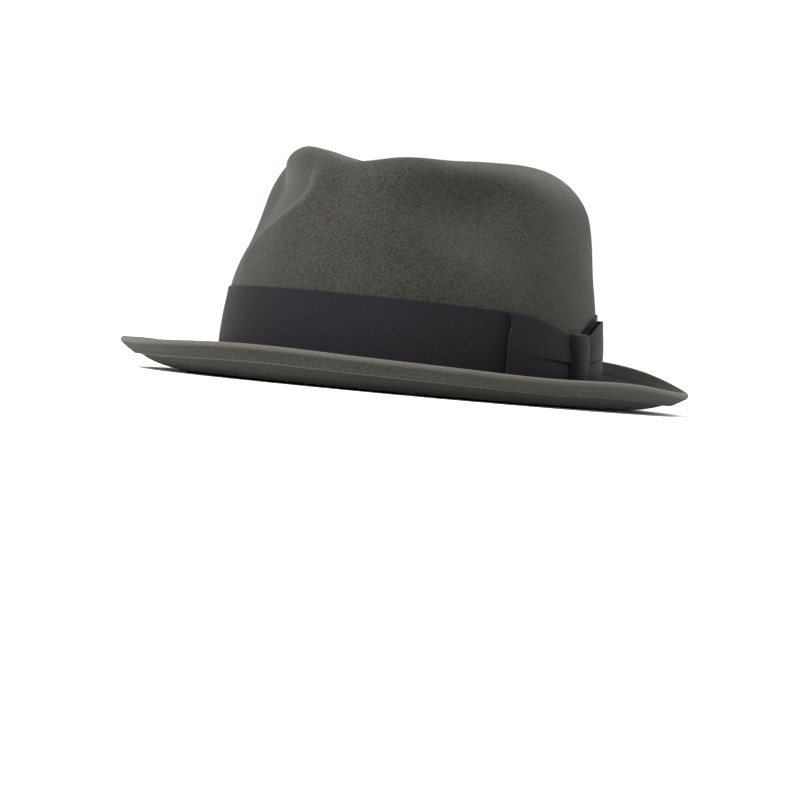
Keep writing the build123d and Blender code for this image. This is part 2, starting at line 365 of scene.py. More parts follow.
def make_piece(name, grid, uv, ring=True, loop=False, marks=None, body="hat", closed=True, sharp=None):
    """Mesh object from a grid in millimetres. ring joins the columns, loop joins the rows.
    uv has one more column with ring, and one more row with loop."""
    rows, columns = grid.shape[:2]
    index = np.arange(rows * columns).reshape(rows, columns)
    if ring:
        index = np.hstack([index, index[:, :1]])
    if loop:
        index = np.vstack([index, index[:1]])
    corners = [index[:-1, :-1], index[:-1, 1:], index[1:, 1:], index[1:, :-1]]
    quads = np.stack(corners, axis=-1).reshape(-1, 4)
    uv_corners = np.stack([uv[:-1, :-1], uv[:-1, 1:], uv[1:, 1:], uv[1:, :-1]], axis=2).reshape(-1, 4, 2)
    points = grid.reshape(-1, 3) * MM
    if closed and signed_volume(points, quads) < 0:
        quads, uv_corners = quads[:, ::-1], uv_corners[:, ::-1]
    mesh = bpy.data.meshes.new(name)
    mesh.from_pydata(points.tolist(), [], quads.tolist())
    layer = mesh.uv_layers.new(name="cloth")
    layer.data.foreach_set("uv", np.ascontiguousarray(uv_corners).ravel())
    for mark, values in (marks or {}).items():
        attribute = mesh.attributes.new(mark, "FLOAT", "POINT")
        attribute.data.foreach_set("value", np.ascontiguousarray(values, dtype=np.float32).ravel())
    merge_doubles(mesh)
    print(name, len(mesh.vertices), "points")
    return piece_from(mesh, body, sharp)


def run_along(line):
    """Length from the first point of a line to each of its points: a running sum of its steps."""
    return np.concatenate([[0], np.cumsum(np.linalg.norm(np.diff(line, axis=0), axis=1))])


def grid_uv(grid, ring=True, loop=False):
    """Cloth coordinates for a grid: lengths along its middle row and along its middle column."""
    wide = np.concatenate([grid, grid[:, :1]], axis=1) if ring else grid
    wide = np.concatenate([wide, wide[:1]], axis=0) if loop else wide
    along = run_along(wide[wide.shape[0] // 2])
    across = run_along(wide[:, wide.shape[1] // 2])
    u, v = np.meshgrid(along, across)
    return np.stack([u, v], axis=-1)


def finish_piece(piece, material, nodes):
    """Gives a piece its material and hides the CAD nodes that it stands for."""
    piece.data.materials.append(material)
    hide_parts(*nodes)


print("helpers for grids are ready")

# %% [markdown]
# ## Shader groups
#
# Felt has a nap of short fibres, ribbon has ribs and satin has a fine weave. They could be painted,
# but formulas of position stay sharp at any distance. Effects that several materials share are node
# groups that put out masks and heights only. Nap is noise at three sizes. Ribs and weave are sine
# waves that follow the cloth's own coordinates.

# %% Shader groups
def new_group(name, inputs, outputs):
    """An empty node group with its sockets, and its two end nodes."""
    group = bpy.data.node_groups.new(name, "ShaderNodeTree")
    for label, kind, value in inputs:
        socket = group.interface.new_socket(label, in_out="INPUT", socket_type=kind)
        if value is not None:
            socket.default_value = value
    for label in outputs:
        group.interface.new_socket(label, in_out="OUTPUT", socket_type="NodeSocketFloat")
    return group, group.nodes.new("NodeGroupInput"), group.nodes.new("NodeGroupOutput")


def math_node(tree, operation, first, second=None):
    """One sum on one or two values, each a socket or a number."""
    node = tree.nodes.new("ShaderNodeMath")
    node.operation = operation
    for socket, value in zip(node.inputs, (first, second)):
        if hasattr(value, "is_linked"):
            tree.links.new(value, socket)
        elif value is not None:
            socket.default_value = value
    return node.outputs[0]


def noise_node(tree, vector, scale, detail=2.0, rough=0.5):
    """Soft noise. Its scale is a socket or a number."""
    node = tree.nodes.new("ShaderNodeTexNoise")
    node.inputs["Detail"].default_value = detail
    node.inputs["Roughness"].default_value = rough
    tree.links.new(vector, node.inputs["Vector"])
    if hasattr(scale, "is_linked"):
        tree.links.new(scale, node.inputs["Scale"])
    else:
        node.inputs["Scale"].default_value = scale
    return node.outputs["Fac"]

# %% The three groups
def nap_group():
    """Fuzz: fibres, small clumps and slow patches of noise, added with falling weights."""
    inputs = [("Vector", "NodeSocketVector", None), ("Fibre scale", "NodeSocketFloat", 2700.0)]
    group, start, end = new_group("nap", inputs, ["Height", "Tone", "Patches"])
    vector, scale = start.outputs["Vector"], start.outputs["Fibre scale"]
    fibres = noise_node(group, vector, scale, 3.0, 0.7)
    clumps = noise_node(group, vector, math_node(group, "MULTIPLY", scale, 0.55), 2.0, 0.6)
    patches = noise_node(group, vector, math_node(group, "MULTIPLY", scale, 0.012), 2.0, 0.5)
    height = math_node(group, "ADD", math_node(group, "MULTIPLY", fibres, 0.6),
                       math_node(group, "MULTIPLY", clumps, 0.6))
    tone = math_node(group, "ADD", math_node(group, "MULTIPLY", fibres, 0.45),
                     math_node(group, "MULTIPLY", clumps, 0.55))
    group.links.new(height, end.inputs["Height"])
    group.links.new(tone, end.inputs["Tone"])
    group.links.new(patches, end.inputs["Patches"])
    return group


def rib_group():
    """Cords of ribbed cloth: a raised sine along the first coordinate, broken up by fine noise."""
    inputs = [("Vector", "NodeSocketVector", None), ("Pitch", "NodeSocketFloat", 0.8)]
    group, start, end = new_group("ribs", inputs, ["Height", "Groove"])
    split = group.nodes.new("ShaderNodeSeparateXYZ")
    group.links.new(start.outputs["Vector"], split.inputs[0])
    along = math_node(group, "DIVIDE", split.outputs["X"], start.outputs["Pitch"])
    wobble = math_node(group, "MULTIPLY", noise_node(group, start.outputs["Vector"], 0.16), 0.5)
    turns = math_node(group, "MULTIPLY", math_node(group, "ADD", along, wobble), 2 * math.pi)
    wave = math_node(group, "ADD", math_node(group, "MULTIPLY", math_node(group, "SINE", turns), 0.5), 0.5)
    threads = noise_node(group, start.outputs["Vector"], 4.0, 2.0)
    height = math_node(group, "ADD", math_node(group, "MULTIPLY", wave, 0.8),
                       math_node(group, "MULTIPLY", threads, 0.2))
    group.links.new(height, end.inputs["Height"])
    group.links.new(math_node(group, "SUBTRACT", 1.0, wave), end.inputs["Groove"])
    return group


def weave_group():
    """Over and under threads: the product of two sine waves of the cloth's coordinates."""
    inputs = [("Vector", "NodeSocketVector", None), ("Pitch", "NodeSocketFloat", 0.5)]
    group, start, end = new_group("weave", inputs, ["Height", "Fleck"])
    split = group.nodes.new("ShaderNodeSeparateXYZ")
    group.links.new(start.outputs["Vector"], split.inputs[0])
    waves = []
    for axis in ("X", "Y"):
        along = math_node(group, "DIVIDE", split.outputs[axis], start.outputs["Pitch"])
        waves.append(math_node(group, "SINE", math_node(group, "MULTIPLY", along, 2 * math.pi)))
    product = math_node(group, "MULTIPLY", waves[0], waves[1])
    height = math_node(group, "ADD", math_node(group, "MULTIPLY", product, 0.5), 0.5)
    group.links.new(height, end.inputs["Height"])
    group.links.new(noise_node(group, start.outputs["Vector"], 0.35, 3.0), end.inputs["Fleck"])
    return group


NAP, RIBS, WEAVE = nap_group(), rib_group(), weave_group()
print("groups", [group.name for group in bpy.data.node_groups])

# %% [markdown]
# ## Materials
#
# Felt and thread scatter light softly, so they are rough with some sheen. Ribbon and lining are
# filament yarns with a duller or brighter gloss, and the leather has a pebbled grain. One function
# for each kind of cloth takes its colours and pitch, so that a dozen finishes need only five
# recipes.

# %% Material helpers
def new_material(name):
    """A material with its tree of nodes and its shader."""
    material = bpy.data.materials.new(name)
    material.use_nodes = True
    return material, material.node_tree, material.node_tree.nodes["Principled BSDF"]


def place_group(tree, group, vector, **values):
    """A group in a material, with its own values."""
    node = tree.nodes.new("ShaderNodeGroup")
    node.node_tree = group
    tree.links.new(vector, node.inputs["Vector"])
    for label, value in values.items():
        node.inputs[label.replace("_", " ")].default_value = value
    return node


def object_vector(tree):
    """Position in the hat, in metres."""
    return tree.nodes.new("ShaderNodeTexCoord").outputs["Object"]


def cloth_vector(tree):
    """Position on the cloth, in millimetres, from the UV map."""
    node = tree.nodes.new("ShaderNodeUVMap")
    node.uv_map = "cloth"
    return node.outputs["UV"]


def mix_colour(tree, mask, low, high):
    """Colour low where the mask is 0 and high where it is 1, each a socket or a colour."""
    node = tree.nodes.new("ShaderNodeMix")
    node.data_type = "RGBA"
    tree.links.new(mask, node.inputs["Factor"])
    for socket, value in ((node.inputs["A"], low), (node.inputs["B"], high)):
        if hasattr(value, "is_linked"):
            tree.links.new(value, socket)
        else:
            socket.default_value = (*value, 1.0)
    return node.outputs["Result"]


def spread(tree, value, low, high, new_low=0.0, new_high=1.0):
    """Stretches low to high over new_low to new_high, and holds the value beyond them."""
    node = tree.nodes.new("ShaderNodeMapRange")
    tree.links.new(value, node.inputs["Value"])
    for label, number in (("From Min", low), ("From Max", high), ("To Min", new_low), ("To Max", new_high)):
        node.inputs[label].default_value = number
    return node.outputs["Result"]


def add_bump(tree, shader, height, distance, strength=1.0):
    """Relief on the shader's normal, from a height and its distance in metres."""
    node = tree.nodes.new("ShaderNodeBump")
    node.inputs["Distance"].default_value = distance
    node.inputs["Strength"].default_value = strength
    tree.links.new(height, node.inputs["Height"])
    tree.links.new(node.outputs["Normal"], shader.inputs["Normal"])


print("helpers for materials are ready")

# %% [markdown]
# ## Felt and leather
#
# Felt is a mat of fibres with no thread in it. Where it is cut its paler inside shows, so the mesh
# carries a mark, "edge", that lightens it there. The same mark also paints highlights: along the
# crisp fold of the right pinch, round the rim of the brim, and on and beside the raw edge under the
# brim. A hair system could make the nap, but fibres this short are only a roughness to the eye.
# Leather has small pebbles, which are the cells of a Voronoi pattern.

# %% Felt and leather
FELT_DARK, FELT_LIGHT = (0.0015, 0.0014, 0.0012), (0.0415, 0.0388, 0.0345)
PALE_EDGE_AND_HIGHLIGHT = 3.2


def felt_material(name, dark, light):
    """Fuzz between two colours, paler by the mark."""
    material, tree, shader = new_material(name)
    nap = place_group(tree, NAP, object_vector(tree))
    tone = math_node(tree, "ADD", spread(tree, nap.outputs["Tone"], 0.38, 0.62, 0.0, 0.85),
                     spread(tree, nap.outputs["Patches"], 0.3, 0.7, 0.0, 0.15))
    body = mix_colour(tree, tone, dark, light)
    # The mark lightens the felt towards a pale colour: in part a paler cut edge, in part painted highlights
    # on the fold, the rim and the raw edge.
    edge = tree.nodes.new("ShaderNodeAttribute")
    edge.attribute_name = "edge"
    pale = tuple(min(1.0, PALE_EDGE_AND_HIGHLIGHT * c) for c in light)
    tree.links.new(mix_colour(tree, edge.outputs["Fac"], body, pale), shader.inputs["Base Color"])
    tree.links.new(spread(tree, nap.outputs["Patches"], 0.0, 1.0, 0.88, 1.0), shader.inputs["Roughness"])
    shader.inputs["Specular IOR Level"].default_value = 0.08
    shader.inputs["Sheen Weight"].default_value = 0.12
    shader.inputs["Sheen Roughness"].default_value = 0.45
    shader.inputs["Sheen Tint"].default_value = (0.9, 0.86, 0.8, 1.0)
    add_bump(tree, shader, nap.outputs["Height"], 0.0005, 0.8)
    return material


def leather_material(name, dark, light):
    """Pebbles, dark in the grooves between them."""
    material, tree, shader = new_material(name)
    vector = object_vector(tree)
    cells = tree.nodes.new("ShaderNodeTexVoronoi")
    cells.feature = "DISTANCE_TO_EDGE"
    cells.inputs["Scale"].default_value = 1100.0
    tree.links.new(vector, cells.inputs["Vector"])
    nap = place_group(tree, NAP, vector, Fibre_scale=900.0)
    pebbles = spread(tree, cells.outputs["Distance"], 0.0, 0.12)
    tone = math_node(tree, "MULTIPLY", pebbles, spread(tree, nap.outputs["Patches"], 0.3, 0.7, 0.4, 1.0))
    tree.links.new(mix_colour(tree, tone, dark, light), shader.inputs["Base Color"])
    tree.links.new(spread(tree, nap.outputs["Tone"], 0.0, 1.0, 0.38, 0.6), shader.inputs["Roughness"])
    add_bump(tree, shader, pebbles, 0.00012, 0.7)
    return material


felt = felt_material("felt", FELT_DARK, FELT_LIGHT)
felt_thread = felt_material("felt_thread", (0.035, 0.033, 0.030), (0.075, 0.070, 0.064))
leather = leather_material("sweatband_leather", (0.030, 0.018, 0.012), (0.085, 0.050, 0.032))
print("made", felt.name, felt_thread.name, leather.name)

# %% [markdown]
# ## Ribbon, cloth and plastic
#
# Grosgrain has ribs a little under a millimetre apart, dark in the grooves. Satin, tape, thread and
# the label are plain weaves that differ in colour, pitch and gloss. Cords of real geometry would
# need millions of faces, so a bump carries them. Over the knot the light grazes the ribs, and a
# lower relief keeps it calm there. The knot's copy of the ribbon is also darker than the band,
# which is painted shade.

# %% Ribbon, cloth and plastic
RIB_PITCH = 0.86
KNOT_RELIEF = 0.00008


def grosgrain_material(name, dark, light, pitch, relief=0.00022):
    """Ribs across the cloth, duller in the grooves."""
    material, tree, shader = new_material(name)
    ribs = place_group(tree, RIBS, cloth_vector(tree), Pitch=pitch)
    colour = mix_colour(tree, ribs.outputs["Groove"], light, dark)
    tree.links.new(colour, shader.inputs["Base Color"])
    tree.links.new(spread(tree, ribs.outputs["Groove"], 0.0, 1.0, 0.42, 0.62), shader.inputs["Roughness"])
    shader.inputs["Specular IOR Level"].default_value = 0.3
    shader.inputs["IOR"].default_value = 1.22
    add_bump(tree, shader, ribs.outputs["Height"], relief, 0.8)
    return material


def woven_material(name, dark, light, pitch, rough, sheen):
    """A fine weave with flecks, its roughness a little uneven."""
    material, tree, shader = new_material(name)
    weave = place_group(tree, WEAVE, cloth_vector(tree), Pitch=pitch)
    mask = math_node(tree, "ADD", math_node(tree, "MULTIPLY", weave.outputs["Height"], 0.5),
                     spread(tree, weave.outputs["Fleck"], 0.3, 0.7, 0.0, 0.5))
    tree.links.new(mix_colour(tree, mask, dark, light), shader.inputs["Base Color"])
    tree.links.new(spread(tree, weave.outputs["Fleck"], 0.0, 1.0, rough - 0.08, rough + 0.08),
                   shader.inputs["Roughness"])
    shader.inputs["Sheen Weight"].default_value = sheen
    add_bump(tree, shader, weave.outputs["Height"], 0.00008, 0.6)
    return material


def reed_material():
    """Satin plastic with faint streaks."""
    material, tree, shader = new_material("reed_plastic")
    vector = object_vector(tree)
    tone = noise_node(tree, vector, 300.0, 3.0)
    colour = mix_colour(tree, tone, (0.15, 0.138, 0.115), (0.22, 0.205, 0.175))
    tree.links.new(colour, shader.inputs["Base Color"])
    tree.links.new(spread(tree, tone, 0.0, 1.0, 0.3, 0.45), shader.inputs["Roughness"])
    add_bump(tree, shader, tone, 0.00003)
    return material


ribbon = grosgrain_material("grosgrain", (0.0014, 0.0012, 0.0017), (0.0140, 0.0124, 0.0158), RIB_PITCH)
# The knot is the same ribbon as the band, and this darker copy of it is painted shade.
shaded_knot_ribbon = grosgrain_material(
    "grosgrain_knot_shaded", (0.0012, 0.0010, 0.0014), (0.0066, 0.0058, 0.0076), RIB_PITCH, KNOT_RELIEF)
ribbon_thread = woven_material("ribbon_thread", (0.008, 0.008, 0.010), (0.02, 0.02, 0.024), 0.3, 0.6, 0.1)
satin = woven_material("lining_satin", (0.075, 0.062, 0.050), (0.125, 0.108, 0.090), 0.25, 0.34, 0.2)
piping_cloth = woven_material("piping_cloth", (0.035, 0.028, 0.024), (0.06, 0.05, 0.042), 0.3, 0.4, 0.2)
tape_cloth = woven_material("reed_tape_cloth", (0.035, 0.028, 0.024), (0.06, 0.05, 0.044), 0.4, 0.7, 0.1)
inner_thread = woven_material("lining_thread", (0.06, 0.046, 0.036), (0.11, 0.088, 0.07), 0.3, 0.6, 0.1)
small_ribbon = woven_material("small_ribbon", (0.012, 0.010, 0.012), (0.03, 0.027, 0.03), 0.35, 0.36, 0.1)
label_cloth = woven_material("label_cloth", (0.48, 0.465, 0.43), (0.64, 0.62, 0.58), 0.3, 0.5, 0.15)
reed_plastic = reed_material()
print("materials", len(bpy.data.materials))

# %% [markdown]
# ## The felt crown
#
# The crown is one sheet of felt, pressed into shape. It could be a sheet with a Solidify modifier,
# but at the pinches that gives an uneven wall, so both faces are worked out. For each direction
# round the head, one line runs from the middle of the dent over the ridge, down the rounded shoulder
# and the wall to the ribbon. The shoulder is a quarter of a superellipse, which meets the ridge
# level and the wall upright. The same line, moved in by the felt's thickness, comes back up inside.

# %% The felt crown
AROUND = np.linspace(-180.0, 180.0, 361)[:-1]
# How pale the painted highlight along the right pinch's fold is.
FOLD_HIGHLIGHT = 0.17
OUTER_ROWS, INNER_ROWS = (40, 36, 90), (16, 14, 24)


def dent_line(angle, share, inset):
    """From the middle of the dent (share 0) to the ridge (share 1), rising as a smooth step."""
    radius = ridge_radius(angle) * share
    step = share**2 * (3.0 - 2.0 * share)
    height = DENT_FLOOR + (ridge_height(angle) - DENT_FLOOR) * step
    return place(angle, radius, height - inset)


def shoulder_depth(angle):
    """How far down the shoulder reaches: tight at the two front corners, wide behind."""
    return 26.0 - 13.0 * bump(np.abs(angle), 22.0, 26.0)


def shoulder_line(angle, share, inset):
    """Superellipse quarter from the ridge (share 0) to the wall (share 1)."""
    turn = share * np.pi / 2
    out = np.sin(turn) ** (2.0 / 2.4)
    down = 1.0 - np.cos(turn) ** (2.0 / 2.4)
    height = ridge_height(angle) - shoulder_depth(angle) * down
    ridge = ridge_radius(angle)
    wall = felt_radius(angle, height) - inset
    return place(angle, ridge + (wall - ridge) * out, height - inset * (1.0 - out))


def wall_line(angle, share, inset):
    """Down the wall from the foot of the shoulder (share 0) to the join behind the ribbon."""
    top = ridge_height(angle) - shoulder_depth(angle)
    height = top + (JOIN_HEIGHT - top) * share
    return place(angle, felt_radius(angle, height) - inset, height)


def crown_shell(inset, counts):
    """Rows of the crown from the middle of the dent down to the join: so many in the dent, on the
    shoulder and on the wall."""
    angle = AROUND[None, :]
    dent = dent_line(angle, np.linspace(0.0, 1.0, counts[0])[:, None], inset)
    shoulder = shoulder_line(angle, np.linspace(0.0, 1.0, counts[1])[1:, None], inset)
    wall = wall_line(angle, np.linspace(0.0, 1.0, counts[2])[1:, None], inset)
    return np.concatenate([dent, shoulder, wall])


crown_grid = np.concatenate([crown_shell(0.0, OUTER_ROWS), crown_shell(FELT, INNER_ROWS)[::-1]])
crown_angle = np.broadcast_to(AROUND, crown_grid.shape[:2])
# A painted highlight along the fold: the mark makes the felt paler there.
crown_highlight = FOLD_HIGHLIGHT * fold_highlight(crown_angle, crown_grid[:, :, 2])
felt_crown = make_piece("crown_felt", crown_grid, grid_uv(crown_grid), marks={"edge": crown_highlight})
finish_piece(felt_crown, felt, ["felt_crown"])

# %% [markdown]
# ## The felt brim
#
# The brim leaves the crown downwards, lies on the table along its lowest line and curls up to the
# rim. Its edge is turned under and stitched down, so the outermost strip is two layers thick and
# ends below in a raw edge. Two meshes could lie on each other there, but one closed line through
# all of it, carried round the head, has no seam to open.

# %% The felt brim
LOWEST = 0.3
STITCH_INSET = 1.7
# How pale the painted highlight round the rim of the brim is.
RIM_HIGHLIGHT = 0.34
BRIM_AROUND = np.linspace(-180.0, 180.0, 481)[:-1]


def brim_top(angle, share):
    """Upper face: a parabola down from the break, then a power curve up to the rim."""
    foot = break_height(angle)
    inner = crown_radius(angle, foot)
    outer = rim_radius(angle)
    fall = FELT + (foot - FELT) * (1.0 - share / LOWEST) ** 2
    rise = np.clip((share - LOWEST) / (1.0 - LOWEST), 0.0, None) ** 2.3
    curl = FELT + (rim_height(angle) - FELT) * rise
    return inner + (outer - inner) * share, np.where(share < LOWEST, fall, curl)


def brim_layer(angle, share, depth):
    """Points at a depth below the upper face, measured square to it."""
    radius, height = brim_top(angle, share)
    ahead_radius, ahead_height = brim_top(angle, share + 0.01)
    behind_radius, behind_height = brim_top(angle, share - 0.01)
    run, climb = ahead_radius - behind_radius, ahead_height - behind_height
    length = np.hypot(run, climb)
    return radius + climb / length * depth, height - run / length * depth


def welt_share(angle):
    """Where the turned edge ends, as a share of the brim's width."""
    return 1.0 - WELT_WIDTH / (rim_radius(angle) - crown_radius(angle, break_height(angle)))


def stitch_share(angle):
    """Where the stitches run, just inside the raw edge."""
    return welt_share(angle) + STITCH_INSET / (rim_radius(angle) - crown_radius(angle, break_height(angle)))


def brim_ripple(angle, share):
    """Slow ripples of the brim, growing outwards."""
    turn = np.radians(angle)
    return share**2 * (0.35 * np.sin(5 * turn + 0.7) + 0.25 * np.sin(9 * turn + 2.1))


def turned_edge(angle, last, double):
    """Half a circle round the rim, over both layers: the rows of radius, height and a mark that paints a
    highlight on the rim.
    """
    ahead, up = brim_layer(angle, last + 0.02, double / 2)
    here, level = brim_layer(angle, last - 0.02, double / 2)
    length = np.hypot(ahead - here, up - level)
    rows = []
    for turn in np.linspace(0.0, np.pi, 11)[1:-1]:
        radius, height = brim_layer(angle, last, double / 2 * (1 - np.cos(turn)))
        out = double / 2 * np.sin(turn)
        rise = height + (up - level) / length * out + brim_ripple(angle, last)
        # The mark paints a highlight, palest at the outermost point of the rim.
        mark = np.full(angle.shape, RIM_HIGHLIGHT * np.sin(turn))
        rows.append((radius + (ahead - here) / length * out, rise, mark))
    return rows


def brim_section():
    """The closed section for all angles at once, as lists of radius and height rows: out along the
    upper face, round the rim, in under the turned edge and up inside the crown to the join."""
    angle = BRIM_AROUND
    welt, stitch = welt_share(angle), stitch_share(angle)
    rows = []

    def add(share, depth, edge=0.0):
        radius, height = brim_layer(angle, share, depth)
        rows.append((radius, height + brim_ripple(angle, share), np.broadcast_to(edge, angle.shape)))

    for share in np.linspace(0.012, 0.72, 34):
        add(share, 0.0)
    last = 0.965
    for share in np.linspace(0.74, last, 26):
        add(share, 0.28 * bump(share, stitch, 0.012))
    double = FELT + WELT_FELT
    rows += turned_edge(angle, last, double)
    for part in np.linspace(0.0, 1.0, 18):
        share = last + (welt - last) * part
        groove = 0.35 * bump(share, stitch, 0.012)
        # On the welt beside the raw edge the mark paints light onto a face that lies in shade.
        add(share, double - groove, 0.30 * bump(share, welt + 0.004, 0.014))
    # The raw edge's marks are partly its paler cut felt and partly a painted highlight.
    raw_edge = (
        (0.0, double - 0.15, 0.55), (0.0015, double - 0.6, 0.8), (0.002, FELT + 0.45, 0.5),
        (0.004, FELT + 0.05, 0.1), (0.012, FELT, 0.0))
    for part, depth, edge in raw_edge:
        add(welt - part, depth, edge)
    for part in np.linspace(0.03, 1.0, 40):
        add((welt - 0.012) * (1.0 - part) + 0.05 * part, FELT)
    foot = break_height(angle)
    inner = crown_radius(angle, foot)
    plain = np.zeros(angle.shape)
    for fall, out in ((1.6, 1.1), (0.9, 1.8), (-0.4, 2.0), (-3.0, 2.0)):
        rows.append((inner - out, foot - fall, plain))
    collar = crown_radius(angle, JOIN_HEIGHT)
    rows.append((collar - FELT, JOIN_HEIGHT + plain, plain))
    rows.append((collar, JOIN_HEIGHT + plain, plain))
    rows.append((inner + 0.1, foot + 1.0, plain))
    radius, height, edge = (np.array([row[i] for row in rows]) for i in range(3))
    return place(angle[None, :], radius, height), edge


# The brim's marks: paler cut felt at the raw edge, and painted highlights on the rim and the welt.
brim_grid, brim_edge_and_highlight = brim_section()
brim_uv = grid_uv(brim_grid, loop=True)
felt_brim = make_piece("brim_felt", brim_grid, brim_uv, loop=True, marks={"edge": brim_edge_and_highlight})
finish_piece(felt_brim, felt, ["felt_brim"])

# %% [markdown]
# ## Rows of stitches
#
# A stitch is a short, thick thread that dips into the cloth at both ends. One curve for each would
# make hundreds of objects, so one small tube is worked out once, and copies of it are set along a
# line in a single mesh, each in its own frame of directions.

# %% Rows of stitches
def stitch_row(name, centres, along, away, length, thick, body="hat"):
    """Stitches at the centres, in millimetres: each a tube along its direction that arches away
    from the cloth by half a sine wave."""
    rings, sides = 7, 6
    part = np.linspace(0.0, 1.0, rings)
    arch = np.sin(part * np.pi)
    turn = np.linspace(0.0, 2 * np.pi, sides, endpoint=False)
    half = thick / 2 * (0.55 + 0.45 * arch)
    along = along / np.linalg.norm(along, axis=1, keepdims=True)
    away = away / np.linalg.norm(away, axis=1, keepdims=True)
    side = np.cross(along, away)
    forward = ((part - 0.5) * length)[:, None] + 0.0 * turn
    lift = (arch * thick * 0.5 - thick * 0.35)[:, None] + half[:, None] * np.sin(turn)
    aside = half[:, None] * np.cos(turn)
    points = centres[:, None, None, :]
    for amount, direction in ((forward, along), (lift, away), (aside, side)):
        points = points + amount[None, :, :, None] * direction[:, None, None, :]
    count = len(centres)
    index = np.arange(count * rings * sides).reshape(count, rings, sides)
    wrapped = np.concatenate([index, index[:, :, :1]], axis=2)
    corners = [wrapped[:, :-1, :-1], wrapped[:, 1:, :-1], wrapped[:, 1:, 1:], wrapped[:, :-1, 1:]]
    quads = np.stack(corners, axis=-1).reshape(-1, 4)
    flat = points.reshape(-1, 3) * MM
    faces = quads.tolist() + index[:, 0, :].tolist() + index[:, -1, ::-1].tolist()
    mesh = bpy.data.meshes.new(name)
    mesh.from_pydata(flat.tolist(), [], faces)
    shape = bmesh.new()
    shape.from_mesh(mesh)
    bmesh.ops.recalc_face_normals(shape, faces=shape.faces)
    shape.to_mesh(mesh)
    shape.free()
    layer = mesh.uv_layers.new(name="cloth")
    corner = np.zeros(len(mesh.loops), np.int64)
    mesh.loops.foreach_get("vertex_index", corner)
    layer.data.foreach_set("uv", (flat[corner][:, :2] / MM).ravel())
    print(name, count, "stitches")
    return piece_from(mesh, body)


def even_angles(radius_of, pitch):
    """Angles round the head that are one pitch apart along a curve of the given radius."""
    fine = np.linspace(-180.0, 180.0, 3601)
    run = run_along(place(fine, radius_of(fine), 0.0))
    count = int(round(run[-1] / pitch))
    return np.interp((np.arange(count) + 0.5) * run[-1] / count, run, fine)

# %% The stitches of the brim
WELT_PITCH = 3.1


def welt_stitches(depth, outward):
    """Centres, directions and outward normals of one row on the brim."""
    angle = even_angles(lambda a: brim_layer(a, stitch_share(a), depth)[0], WELT_PITCH)

    def line(at, extra=0.0):
        share = stitch_share(at)
        radius, height = brim_layer(at, share, depth + extra)
        return place(at, radius, height + brim_ripple(at, share))

    return line(angle), line(angle + 0.1) - line(angle - 0.1), (line(angle, 1.0) - line(angle)) * outward


def joined_rows(rows):
    """Several rows of stitches as one."""
    return [np.concatenate(part) for part in zip(*rows)]


welt_rows = joined_rows([welt_stitches(0.12, -1.0), welt_stitches(FELT + WELT_FELT - 0.18, 1.0)])
welt_stitching = stitch_row("welt_thread", *welt_rows, 2.5, 0.5)
finish_piece(welt_stitching, felt_thread, ["welt_stitching"])

# %% [markdown]
# ## The ribbon band
#
# The ribbon is a strip of grosgrain, wrapped round the crown and pulled tight. Its ribs run up and
# down. Its woven edges are a little thicker than its middle, and the knot of the bow pinches it. A
# cloth simulation would only pull it flat on the felt again, so its face is the wall's own formula,
# a little further out.

# %% The ribbon band
RIBBON = 0.5
RIBBON_FOOT = 0.8
RIBBON_WIDTH = 37.5
RIBBON_BASE = 0.2
DRAWN_IN = 9.2


def drawn_in(angle):
    """How far the knot draws the ribbon's upper edge down: a bell, wider on the front side."""
    away = angle - KNOT_ANGLE
    return DRAWN_IN * np.exp(-((away / np.where(away < 0.0, 17.7, 11.0)) ** 2))


def band_flare(angle, share):
    """The upper edge stands off a little behind the bow: a bell round the head times share^3."""
    return 0.5 * bump(angle, 110.0, 9.0) * share**3


def ribbon_height(angle, share):
    """Height on the band from its lower edge (share 0) to its upper edge, pinched at the knot."""
    low = break_height(angle) + RIBBON_FOOT + 0.4 * drawn_in(angle)
    high = break_height(angle) + RIBBON_FOOT + RIBBON_WIDTH - drawn_in(angle)
    return low + (high - low) * share


def ribbon_rows():
    """Rows of the band's closed section: out at the face, in at the back, thick at the edges."""
    angle = np.linspace(-180.0, 180.0, 721)[:-1]
    grid = []
    for share in np.linspace(0.0, 1.0, 25):
        height = ribbon_height(angle, share)
        selvedge = 0.16 * (bump(share, 0.012, 0.02) + bump(share, 0.988, 0.02))
        waves = 0.12 * np.sin(np.radians(11 * angle + 60 * share)) * share
        slack = band_flare(angle, share) + 0.25 * bump(share, 1.0, 0.08) + waves
        out = RIBBON_BASE + RIBBON + selvedge + np.maximum(slack, 0.0)
        grid.append(place(angle, crown_radius(angle, height) + out, height))
    for share in np.linspace(1.0, 0.0, 7):
        height = ribbon_height(angle, share)
        out = RIBBON_BASE - 0.1 + band_flare(angle, share)
        grid.append(place(angle, crown_radius(angle, height) + out, height))
    return np.array(grid)


ribbon_grid = ribbon_rows()
ribbon_band = make_piece("band_ribbon", ribbon_grid, grid_uv(ribbon_grid, loop=True), loop=True, sharp=50)
finish_piece(ribbon_band, ribbon, ["ribbon_band"])

# %% [markdown]
# ## The bow
#
# The bow is the same ribbon again. A loop is laid forward from the knot and folded back, and a
# second, shorter one lies behind. Both fan out from the knot, where the ribbon is gathered and
# tucked. Simulated cloth would have to be tied first, so a loop is a strip in the shape it was sewn
# in: its length runs out along its face, round the fold and back beneath.

# %% The loops of the bow
BOW_BASE = RIBBON_BASE + RIBBON + 0.25
RIBBON_THICK = 0.42


